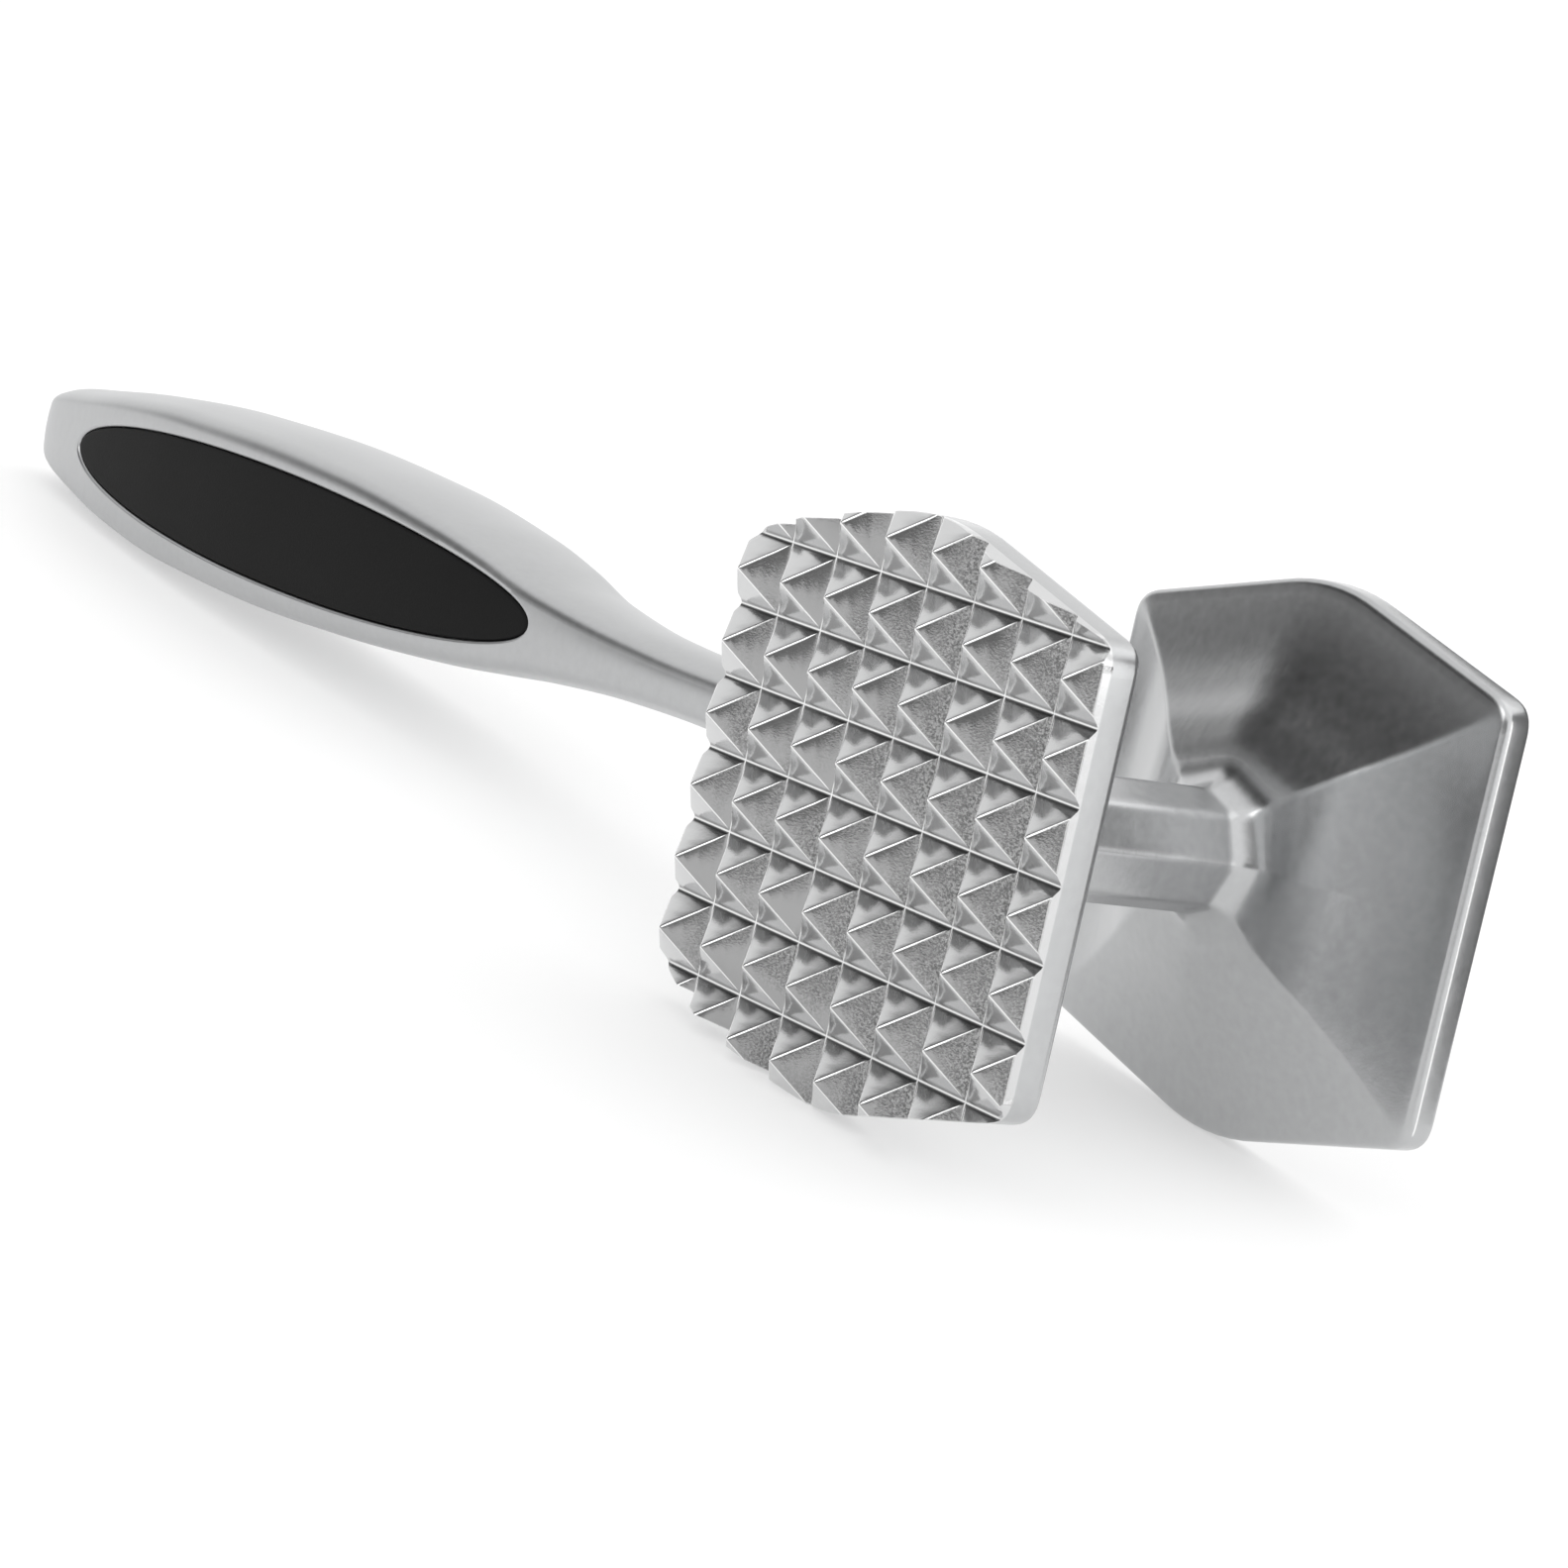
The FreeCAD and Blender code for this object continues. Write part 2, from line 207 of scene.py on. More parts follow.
# %% [markdown]
# ## The head's outline
# A plate has straight sides, and its top and bottom edges are low gables with a rounded ridge. The bar
# between the plates has eight flats, with a corner straight up. The hollow back of a plate blends from one
# to the other: the bar's corners run out as soft creases to the plate's corners, to its two gable ridges
# and to the middles of its sides. So one function draws every ring. A share of 0 is the bar and a share of
# 1 is the plate's edge.

# %% Outline of the head
PLATE_HALF_X = 27.0
PLATE_CORNER_Z = 21.2
PLATE_CORNER_CUT = 1.2
GABLE_ANGLE = math.radians(14.8)
GABLE_SLOPE = math.tan(GABLE_ANGLE)
GABLE_RADIUS = 24.0
BAR_CORNER = 6.26                # middle to a corner of the bar
BAR_RIDGE_RADIUS = 1.5
BAR_SLANTED = BAR_CORNER * math.sin(math.radians(45))
CREASE_CUT = 0.3                 # width of the creases that run to the plate's corners
CORNER_CUTS = ((0, CREASE_CUT), (0.85, CREASE_CUT), (1, PLATE_CORNER_CUT))     # by share
CORNER_ROUNDING = ((0, 0.6), (0.3, 0.3), (0.85, 0.4), (1, 1.5))                # by share
MOST_TRIM = 0.42                 # the most that rounding takes off each end of a side, in parts of it
HALF_SIDE_POINTS = 8
GABLE_POINTS = 29
CUT_POINTS = 3
SOFT_POINTS = 3                  # points that round each corner of the outline


def between(first, second, share):
    return first + (second - first) * share


def gable(x, corner_x, corner_z, slope, radius):
    """Height of the gable over x: straight slopes with a rounded ridge."""
    angle = math.atan(slope)
    ridge = radius * math.sin(angle)
    if abs(x) >= ridge:
        return corner_z + (corner_x - abs(x)) * slope
    foot = corner_z + (corner_x - ridge) * slope
    return foot + math.sqrt(radius ** 2 - x * x) - radius * math.cos(angle)


def head_ring(share, inset, y, pull=0.0):
    """One ring round the head. The pull draws in the side that faces the handle."""
    cut = float(smooth_at(CORNER_CUTS, share)[0])
    side_x = between(BAR_CORNER, PLATE_HALF_X, share) - inset
    corner_x = between(BAR_SLANTED, PLATE_HALF_X, share) - inset
    corner_z = between(BAR_SLANTED, PLATE_CORNER_Z, share) - inset
    ridge_z = between(BAR_CORNER, PLATE_CORNER_Z + PLATE_HALF_X * GABLE_SLOPE, share) - inset
    slope = (ridge_z - corner_z) / corner_x
    radius = between(BAR_RIDGE_RADIUS, GABLE_RADIUS, share)
    end_x = corner_x - cut
    soft = float(smooth_at(CORNER_ROUNDING, share)[0])
    high = (corner_x + (side_x - corner_x) * cut / corner_z, corner_z - cut)
    low, middle = (high[0], -high[1]), (side_x, 0.0)

    def upper(t):
        x = end_x * (1 - 2 * t)
        return x, gable(x, corner_x, corner_z, slope, radius)

    def straight(a, b):
        return lambda t: tuple(p + (q - p) * t for p, q in zip(a, b))

    half = [(straight(low, middle), HALF_SIDE_POINTS), (straight(middle, high), HALF_SIDE_POINTS),
            (straight(high, upper(0)), CUT_POINTS), (upper, GABLE_POINTS),
            (straight(upper(1), (-high[0], high[1])), CUT_POINTS)]
    sides = half + [(lambda t, side=side: tuple(-v for v in side(t)), count) for side, count in half]
    trimmed = []
    for side, count in sides:
        length = math.dist(side(0), side(1))
        trim = min(soft, MOST_TRIM * length) / length
        trimmed.append([side(trim + (1 - 2 * trim) * i / (count - 1)) for i in range(count)])
    ring = []
    for i, points in enumerate(trimmed):
        ring += points
        ring += bend(points[-1], sides[i][0](1), trimmed[(i + 1) % len(trimmed)][0], SOFT_POINTS)
    limit = -PLATE_HALF_X + pull
    return [(max(x, limit), y, z) for x, z in ring]


print("points on a ring", len(head_ring(1, 0, 0)))

# %% [markdown]
# ## The head's body
# The body is a skin over rings from beyond the tips of the teeth to the smooth face. Along y the profile
# is: plate edge, a soft corner, the hollow back, a fillet into the bar, the bar, and the same again. Soft
# corners matter on cast metal: each rim catches a thin line of light. The teeth's edge beside the handle
# is rounded back, which makes the row of scallops there.

# %% Body of the head
TOOTH_HEIGHT = 3.1
RIM = 3.4
FLARE_DEPTH = 7.4
FILLET = 3.2
OUTER_ROUND = 1.4
RIM_SOFT = 0.8
FACE_SOFT = 0.9
RIM_BACK = HALF_SPAN - RIM
# hollow back: share of the way from bar to edge, and height above the rim's back in parts of its depth
FLARE = ((0.0, 0.99), (0.16, 0.95), (0.32, 0.78), (0.50, 0.50), (0.68, 0.26), (0.86, 0.09), (1.0, 0.0))
FILLET_STEPS = 12
FLARE_STEPS = 22
FLARE_END = 0.965                # share of the last ring before the rim's back
RIM_STEPS = 4
ROUND_STEPS = 8
FACE_STEPS = 5
BEYOND_TIPS = 0.4                # how far the body runs on past the tips of the teeth, to be cut off
FLAT_MARGIN = 0.3                # a second ring this far in keeps the smooth face's shading flat


def flare_profile():
    """Share, inset and distance from the middle for the rings from the bar to just inside the rim."""
    made = []
    fillet_share = FILLET / (PLATE_HALF_X - BAR_CORNER)
    for step in range(FILLET_STEPS + 1):
        turn = math.pi / 2 * step / FILLET_STEPS
        share = fillet_share * (1 - math.cos(turn))
        height = FLARE_DEPTH * float(smooth_at(FLARE, share)[0]) + FILLET * (1 - math.sin(turn))
        made.append((share, 0.0, RIM_BACK - height))
    for step in range(1, FLARE_STEPS + 1):
        share = between(fillet_share, FLARE_END, step / FLARE_STEPS)
        made.append((share, 0.0, RIM_BACK - FLARE_DEPTH * float(smooth_at(FLARE, share)[0])))
    return made


def head_body():
    """The whole head as one skin, still without teeth and holes."""
    flare = flare_profile()
    rim_corner = (1.0, 0.0, RIM_BACK)
    wall_start = (1.0, 0.0, RIM_BACK + RIM_SOFT)
    half = flare + bend(flare[-1], rim_corner, wall_start, RIM_STEPS) + [wall_start]
    front = []
    for step in range(ROUND_STEPS + 1):
        turn = math.pi / 2 * step / ROUND_STEPS
        pull = OUTER_ROUND * (1 - math.cos(turn))
        front.append((1.0, 0.0, HALF_SPAN + TOOTH_HEIGHT * math.sin(turn), pull))
    front.append((1.0, 0.0, HALF_SPAN + TOOTH_HEIGHT + BEYOND_TIPS, OUTER_ROUND))
    rings = [head_ring(share, inset, -y, pull) for share, inset, y, pull in reversed(front)]
    rings += [head_ring(share, inset, -y) for share, inset, y in reversed(half)]
    rings += [head_ring(share, inset, y) for share, inset, y in half]
    wall_end = (1.0, 0.0, HALF_SPAN - FACE_SOFT)
    face_start = (1.0, FACE_SOFT, HALF_SPAN)
    corner = (1.0, 0.0, HALF_SPAN)
    face_edge = [wall_end] + bend(wall_end, corner, face_start, FACE_STEPS) + [face_start]
    rings += [head_ring(*station) for station in face_edge]
    rings.append(head_ring(1.0, FACE_SOFT + FLAT_MARGIN, HALF_SPAN))
    return skin("head", rings)


head = head_body()
print("head body faces", len(head.data.polygons))

# %% [markdown]
# ## One tooth
# The teeth are pyramids left between two crossed sets of V grooves. One tooth is drawn as a small sheet
# over its square of the grid: a strip of groove floor all round, a soft foot, four flat flanks with rounded
# ridges between them, and a blunt tip. A ring of points with rounded corners at each height makes it.

# %% One tooth
TOOTH_PITCH = 7.0
TEETH_ACROSS = 8
GROOVE_FLOOR = 0.36
RIDGE_ROUND = 0.26               # corner radius of a tooth's outline, which softens the ridges
TIP_CUT = 0.14                   # height lost at the tip by its blunting
FOOT_SOFT = 0.22
CORNER_STEPS = 3
FOOT_STEPS = 3
RIDGE_GROWTH = 0.7               # the ridges reach their full rounding at this height
FLANK_HEIGHTS = (0.8, 1.7, 2.6, TOOTH_HEIGHT - 0.16)
BLUNTED = ((0.17, TOOTH_HEIGHT - 0.06), (0.08, TOOTH_HEIGHT - 0.01))     # half width, height


def tooth_ring(half, radius, height):
    """A square ring with rounded corners, at a height over the groove's floor."""
    ring = []
    reach = half - radius
    for quarter in range(4):
        start = quarter * math.pi / 2
        cx, cz = [(1, 1), (-1, 1), (-1, -1), (1, -1)][quarter]
        for step in range(CORNER_STEPS + 1):
            turn = start + math.pi / 2 * step / CORNER_STEPS
            ring.append((cx * reach + radius * math.cos(turn), -HALF_SPAN - height,
                         cz * reach + radius * math.sin(turn)))
    return ring


def one_tooth():
    """A sheet over one square of the grid, with one tooth on it."""
    half_pitch = TOOTH_PITCH / 2
    foot = half_pitch - GROOVE_FLOOR / 2
    peak = TOOTH_HEIGHT + TIP_CUT
    slope = peak / foot
    floor = (foot + FOOT_SOFT, 0.0)
    flank = (foot - FOOT_SOFT, FOOT_SOFT * slope)
    profile = [(half_pitch, 0.0), floor] + bend(floor, (foot, 0.0), flank, FOOT_STEPS) + [flank]
    profile += [(foot - height / slope, height) for height in FLANK_HEIGHTS]
    profile += BLUNTED
    rings = []
    for half, height in profile:
        radius = min(RIDGE_ROUND * min(1.0, height / RIDGE_GROWTH), 0.9 * half)
        rings.append(tooth_ring(min(half, half_pitch), radius, height))
    count = len(rings[0])
    points = [p for ring in rings for p in ring] + [(0, -HALF_SPAN - TOOTH_HEIGHT, 0)]
    faces = bands(len(rings), count) + fan((len(rings) - 1) * count, count, len(points) - 1)
    return mesh_object("teeth", points, faces)


teeth = one_tooth()
print("one tooth has faces", len(teeth.data.polygons))

# %% [markdown]
# ## The field of teeth
# Geometry Nodes repeats the tooth on a square grid. The grid's size comes from two inputs, the pitch and
# the number across, so the field can be changed without touching the tooth. Merging by distance joins the
# groove floors of neighbours into one sheet.

# %% A node tree that repeats a tooth on a grid
def tooth_field_tree():
    """A tree that lays the tooth on a square grid and gives the sheet its metal."""
    tree = bpy.data.node_groups.new("Field of teeth", "GeometryNodeTree")
    face = tree.interface
    face.new_socket("Tooth", in_out="INPUT", socket_type="NodeSocketGeometry")
    face.new_socket("Pitch", in_out="INPUT", socket_type="NodeSocketFloat")
    face.new_socket("Across", in_out="INPUT", socket_type="NodeSocketInt")
    face.new_socket("Material", in_out="INPUT", socket_type="NodeSocketMaterial")
    face.new_socket("Field", in_out="OUTPUT", socket_type="NodeSocketGeometry")
    new = tree.nodes.new
    link = tree.links.new
    start, end = new("NodeGroupInput"), new("NodeGroupOutput")
    gaps = new("ShaderNodeMath")
    gaps.operation = "SUBTRACT"
    gaps.inputs[1].default_value = 1
    width = new("ShaderNodeMath")
    width.operation = "MULTIPLY"
    grid = new("GeometryNodeMeshGrid")
    stand = new("GeometryNodeTransform")
    stand.inputs["Rotation"].default_value = (math.pi / 2, 0, 0)
    place = new("GeometryNodeInstanceOnPoints")
    real = new("GeometryNodeRealizeInstances")
    merge = new("GeometryNodeMergeByDistance")
    merge.inputs["Distance"].default_value = 0.001
    paint = new("GeometryNodeSetMaterial")
    link(start.outputs["Across"], gaps.inputs[0])
    link(start.outputs["Pitch"], width.inputs[0])
    link(gaps.outputs[0], width.inputs[1])
    for name in ("Size X", "Size Y"):
        link(width.outputs[0], grid.inputs[name])
    for name in ("Vertices X", "Vertices Y"):
        link(start.outputs["Across"], grid.inputs[name])
    link(grid.outputs["Mesh"], stand.inputs["Geometry"])
    link(stand.outputs["Geometry"], place.inputs["Points"])
    link(start.outputs["Tooth"], place.inputs["Instance"])
    link(place.outputs["Instances"], real.inputs["Geometry"])
    link(real.outputs["Geometry"], merge.inputs["Geometry"])
    link(merge.outputs["Geometry"], paint.inputs["Geometry"])
    link(start.outputs["Material"], paint.inputs["Material"])
    link(paint.outputs["Geometry"], end.inputs["Field"])
    return tree


def run_tree(obj, tree, **values):
    """Adds the tree to the object, sets its inputs by their sockets' identifiers, and keeps the result."""
    modifier = obj.modifiers.new(tree.name, "NODES")
    modifier.node_group = tree
    sockets = {item.name: item.identifier for item in tree.interface.items_tree if item.in_out == "INPUT"}
    for name, value in values.items():
        modifier[sockets[name]] = value
    return settle(obj)


cast_metal = bpy.data.materials.new("cast metal")
run_tree(teeth, tooth_field_tree(), Pitch=TOOTH_PITCH, Across=TEETH_ACROSS, Material=cast_metal)
print("field of teeth has faces", len(teeth.data.polygons))

# %% [markdown]
# ## Cutting the teeth into the head
# The sheet becomes a block when its border is pulled back past the smooth face and closed. What the body
# and the block share is the finished head: everything under the teeth's surface. The grooves then run
# right out through the plate's edges, as they do on the casting.

# %% Cut the teeth
def close_behind(obj, back_y):
    """Pulls the open border of a sheet back to back_y and closes it."""
    work = bmesh.new()
    work.from_mesh(obj.data)
    border = [edge for edge in work.edges if edge.is_boundary]
    pulled = bmesh.ops.extrude_edge_only(work, edges=border)["geom"]
    for item in pulled:
        if isinstance(item, bmesh.types.BMVert):
            item.co.y = back_y
    far = [edge for edge in work.edges if edge.is_boundary]
    bmesh.ops.holes_fill(work, edges=far)
    bmesh.ops.recalc_face_normals(work, faces=work.faces)
    open_edges = sum(1 for edge in work.edges if not edge.is_manifold)
    work.to_mesh(obj.data)
    work.free()
    print("block of teeth, open edges", open_edges)
    return obj


BLOCK_MARGIN = 5.0               # how far the block of teeth reaches past the smooth face
close_behind(teeth, HALF_SPAN + BLOCK_MARGIN)
head.data.materials.append(cast_metal)
combine(head, "INTERSECT", teeth)
print("head faces with teeth", len(head.data.polygons))

# %% [markdown]
# ## Holes for the hidden fixings
# The handle's stud goes into a blind hole in the bar, and a thin spring pin crosses it from below. Both
# places come from the frame: the middle of each CAD piece's box, taken back into the tool's directions.

# %% Stud hole and pin hole
def rod(name, start, direction, radius, length, sides=40):
    """A plain round rod from a start point."""
    direction = Vector(direction)
    side = direction.orthogonal().normalized()
    other = direction.cross(side)
    rings = []
    for at in (0, length):
        centre = Vector(start) + direction * at
        turns = [2 * math.pi * i / sides for i in range(sides)]
        rings.append([tuple(centre + (side * math.cos(t) + other * math.sin(t)) * radius) for t in turns])
    return skin(name, rings)


def middle_of(node):
    """Middle of a CAD piece, in the tool's directions and millimetres."""
    low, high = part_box(node)
    return TOOL.inverted() @ ((low + high) / 2)


STUD_RADIUS = 2.5
STUD_LENGTH = 34.0
PIN_RADIUS = 1.0
PIN_LENGTH = 8.8
HOLE_PLAY = 0.02                 # a hole's radius is this much larger than its stud or pin
pin_middle = middle_of("lock_pin")
stud_middle = middle_of("handle_stud")
stud_tip = stud_middle.x + STUD_LENGTH / 2
pin_hole = rod("pin hole", (pin_middle.x, 0, -BAR_CORNER - 1), (0, 0, 1), PIN_RADIUS + HOLE_PLAY,
               BAR_CORNER + 1 + pin_middle.z + PIN_LENGTH / 2)
stud_hole = rod("stud hole", (-BAR_CORNER - 2, 0, 0), (1, 0, 0), STUD_RADIUS + HOLE_PLAY,
                stud_tip + BAR_CORNER + 2 + HOLE_PLAY)
combine(head, "DIFFERENCE", pin_hole, stud_hole)
print("stud tip at x", round(stud_tip, 2), "pin at x", round(pin_middle.x, 2))

# %% [markdown]
# ## The handle
# The handle swells from a slim neck to a full grip and ends blunt. Each cross-section has a flat in front
# and behind, a crowned top and bottom, and rounded edges between them, so a soft crease runs from the neck
# into the grip. The grip sweeps up a little from the line of the neck. A short table of stations gives the
# main sizes and that rise, and a smooth curve fills in between. The last rings crowd together, because
# that is where the blunt end turns over.

# %% Handle sections
# x, half width in z, half thickness in y, half height of the flats, rise of the middle line
HANDLE = ((-4.4, 3.85, 5.9, 1.8, 0.0), (-32.0, 3.80, 5.9, 1.8, 0.0), (-62.0, 3.75, 5.9, 1.8, 0.0),
          (-75.0, 4.05, 6.3, 2.2, 0.0), (-90.0, 5.30, 7.4, 3.5, 0.10), (-100.0, 6.85, 8.5, 5.2, 0.45),
          (-110.0, 8.35, 9.4, 6.4, 0.80), (-130.0, 10.20, 10.3, 7.9, 1.20), (-150.0, 11.00, 10.6, 8.4, 1.32),
          (-170.0, 10.60, 10.1, 8.1, 1.40), (-187.0, 9.20, 8.9, 6.9, 1.57), (-201.0, 7.30, 7.2, 5.2, 1.80),
          (-210.0, 5.80, 5.6, 4.0, 2.10), (-214.0, 4.60, 4.1, 2.9, 2.25), (-216.0, 3.15, 2.7, 1.8, 2.35),
          (-216.9, 1.50, 1.3, 0.8, 2.40))
FLAT_CROWN = 0.15                # the flats bulge by this much
FLAT_POINTS = 9
EDGE_POINTS = 7
CROWN_POINTS = 9
HANDLE_STEPS = 190
END_X = -203.0                   # here the even spacing of the rings gives way to the rounded end's
END_STEPS = 26


def cubic(a, b, c, d, t):
    """The point at t on the curve from a to d that is drawn towards b and c on its way."""
    return tuple((1 - t) ** 3 * p + 3 * t * (1 - t) ** 2 * q + 3 * t * t * (1 - t) * r + t ** 3 * s
                 for p, q, r, s in zip(a, b, c, d))


def handle_ring(x):
    """One ring round the handle: a quarter of the section, then the same quarter three times mirrored."""
    half_z, half_y, flat, rise = smooth_at(HANDLE, x)
    corner = min(0.30 * half_y, 0.9 * (half_z - flat) + 0.25)
    edge_low = (-half_y, flat - 0.30 * corner)
    edge_high = (-half_y + corner, flat + 0.62 * corner)
    slope = 2 * math.atan2(half_z - edge_high[1], -edge_high[0])
    reach = 0.55 * corner
    lead = 0.36 * -edge_high[0]
    off_flat = (edge_low[0], edge_low[1] + reach)
    into_crown = (edge_high[0] - reach * math.cos(slope), edge_high[1] - reach * math.sin(slope))
    up_crown = (edge_high[0] + lead * math.cos(slope), edge_high[1] + lead * math.sin(slope))
    quarter = []
    for i in range(FLAT_POINTS):
        t = i / FLAT_POINTS
        quarter.append((edge_low[0] - FLAT_CROWN * (1 - t * t), edge_low[1] * t))
    for i in range(EDGE_POINTS):
        quarter.append(cubic(edge_low, off_flat, into_crown, edge_high, i / EDGE_POINTS))
    for i in range(CROWN_POINTS):
        quarter.append(cubic(edge_high, up_crown, (-lead, half_z), (0, half_z), i / CROWN_POINTS))
    ring = list(quarter)                                                   # front flat to top
    ring += [(-y, z) for y, z in [(0, half_z)] + quarter[:0:-1]]           # top to rear flat
    ring += [(-y, -z) for y, z in quarter]                                 # rear flat to bottom
    ring += [(y, -z) for y, z in [(0, half_z)] + quarter[:0:-1]]           # bottom to front flat
    return [(x, y, z + rise) for y, z in ring]


def front_of_grip(x, z):
    """y of the handle's front flat at x and z."""
    _, half_y, flat, rise = smooth_at(HANDLE, x)
    return -half_y - FLAT_CROWN * (1 - min(1.0, ((z - rise) / flat) ** 2))


def handle_body():
    """The whole handle as one skin, still without pockets and saddle."""
    start, end = HANDLE[0][0], HANDLE[-1][0]
    stations = [start + (END_X - start) * i / HANDLE_STEPS for i in range(HANDLE_STEPS)]
    for i in range(END_STEPS + 1):
        stations.append(END_X + (end - END_X) * math.sin(math.pi / 2 * i / END_STEPS))
    return skin("handle", [handle_ring(x) for x in stations])


handle = handle_body()
handle.data.materials.append(cast_metal)
print("handle faces", len(handle.data.polygons))

# %% [markdown]
# ## The inlay pockets
# An inlay sits in an oval pocket. The pocket's lip is rounded over, which gives the grip its bright line
# round the black oval. The cutter is a skin over oval rings, and each ring follows the swelling of the
# grip, so the pocket is equally deep everywhere. The same function then draws the inlay itself.

# %% Ovals that follow the grip
INLAY_HALF_LENGTH = 54.0
INLAY_HALF_WIDTH = 6.7
INLAY_TILT = math.radians(0.6)   # the oval follows the grip's sweep
OVAL_POINTS = 160
LIP = 0.5
POCKET_DEPTH = 2.7
SKIN_DEPTH = 1.5                 # thickness of the soft part over its hard base
SEAM = 0.10                      # gap between inlay and metal
LIP_DEGREES = (90, 108, 126, 144, 162, 180)
ABOVE_FLAT = (3.0, 0.16)         # heights of the cutter's two rings over the grip's flat
BESIDE_LIP = 0.3
FLOOR_SHARES = (0.9, 0.7, 0.5, 0.3, 0.1)


def oval_ring(side, grow, height):
    """An oval on the grip's flat, grown outwards by grow and lifted by height. side is -1 in front."""
    ring = []
    for i in range(OVAL_POINTS):
        turn = 2 * math.pi * i / OVAL_POINTS
        x, z = INLAY_HALF_LENGTH * math.cos(turn), INLAY_HALF_WIDTH * math.sin(turn)
        nx, nz = math.cos(turn) / INLAY_HALF_LENGTH, math.sin(turn) / INLAY_HALF_WIDTH
        size = math.hypot(nx, nz)
        x, z = x + grow * nx / size, z + grow * nz / size
        x, z = (INLAY_MID_X + x * math.cos(INLAY_TILT) + z * math.sin(INLAY_TILT),
                INLAY_RISE - x * math.sin(INLAY_TILT) + z * math.cos(INLAY_TILT))
        ring.append((x, -side * (front_of_grip(x, z) - height), z))
    return ring


def shrunk(ring, side, share, height):
    """The ring drawn towards its middle, still on the grip's flat."""
    made = []
    for x, _, z in ring:
        x, z = INLAY_MID_X + (x - INLAY_MID_X) * share, INLAY_RISE + (z - INLAY_RISE) * share
        made.append((x, -side * (front_of_grip(x, z) - height), z))
    return made


def pocket_cutter(side):
    """What is cut out of one flat: the pocket and the rounding of its lip."""
    rings = [oval_ring(side, LIP + BESIDE_LIP, height) for height in ABOVE_FLAT]
    for degrees in LIP_DEGREES:
        turn = math.radians(degrees)
        rings.append(oval_ring(side, LIP + LIP * math.cos(turn), -LIP + LIP * math.sin(turn)))
    rings.append(oval_ring(side, 0.0, -POCKET_DEPTH))
    floor = rings[-1]
    rings += [shrunk(floor, side, share, -POCKET_DEPTH) for share in FLOOR_SHARES]
    return skin("pocket", rings)


combine(handle, "DIFFERENCE", pocket_cutter(-1), pocket_cutter(1))
print("handle faces with pockets", len(handle.data.polygons))

# %% [markdown]
# ## Fitting the handle to the bar
# The neck butts against the bar and hugs its flats, so the bar's shape is cut out of the end of the neck.
# The stud's hole goes on into the neck.

# %% Saddle and stud hole in the neck
SADDLE_GAP = 0.03
bar_cutter = skin("bar cutter", [head_ring(0, -SADDLE_GAP, y) for y in (-10, 10)])
neck_hole = rod("neck hole", (-BAR_CORNER + 1, 0, 0), (-1, 0, 0), STUD_RADIUS + HOLE_PLAY,
                STUD_LENGTH - (stud_tip + BAR_CORNER) + 1 + HOLE_PLAY)
combine(handle, "DIFFERENCE", bar_cutter, neck_hole)
print("handle faces with its saddle", len(handle.data.polygons))

# %% [markdown]
# ## The soft inlays
# Each inlay is a thick soft oval. Its surface is a touch lower than the metal at the edge and crowned in
# the middle, and its own edge is rounded, so a fine dark seam shows all the way round.

# %% Soft inlays
EDGE_DROP = 0.16
CROWN = 0.30
INLAY_EDGE = 0.35
BASE_GAP = 0.02                  # between the soft part and the hard base under it
UNDER_SHARES = (0.1, 0.4, 0.7, 0.95)
TOP_SHARES = (0.97, 0.93, 0.87, 0.8, 0.7, 0.6, 0.5, 0.4, 0.3, 0.2, 0.1, 0.03)


def inlay(name, side):
    """One soft inlay: its flat underside, its wall, its rounded edge and its crowned top."""
    bottom = -SKIN_DEPTH + BASE_GAP
    rings = [shrunk(oval_ring(side, -SEAM, 0), side, share, bottom) for share in UNDER_SHARES]
    rings.append(oval_ring(side, -SEAM, bottom))
    wall = (-SEAM, -EDGE_DROP - INLAY_EDGE)
    top = (-SEAM - INLAY_EDGE, -EDGE_DROP)
    rings += [oval_ring(side, *at) for at in [wall] + bend(wall, (-SEAM, -EDGE_DROP), top, 4) + [top]]
    edge = oval_ring(side, top[0], top[1])
    for share in TOP_SHARES:
        rings.append(shrunk(edge, side, share, -EDGE_DROP + CROWN * (1 - share * share)))
    return skin(name, rings)


inlays = {name: inlay(name, side) for name, side in (("front_grip", -1), ("rear_grip", 1))}
print("faces of an inlay", len(inlays["front_grip"].data.polygons))

# %% [markdown]
# ## Laying the pieces down
# All shapes are finished, so their meshes now move from the tool's millimetres to the frame's metres. The
# place goes into the mesh and the object stays at the origin, as a CAD piece does. Smooth shading with an
# angle limit keeps the tips and grooves of the teeth crisp while the hollow backs stay smooth.

# %% Lay the pieces down
lay_down(head, 40)
lay_down(handle, 38)
for piece in inlays.values():
    lay_down(piece, 50)

# %% [markdown]
# ## A bench for materials
# Shader maths is easier to read as ordinary maths. A Wire is one socket, and adding or multiplying wires
# adds the Math nodes. The bench's node method makes any other node from its type, its settings and the
# values or wires of its inputs.

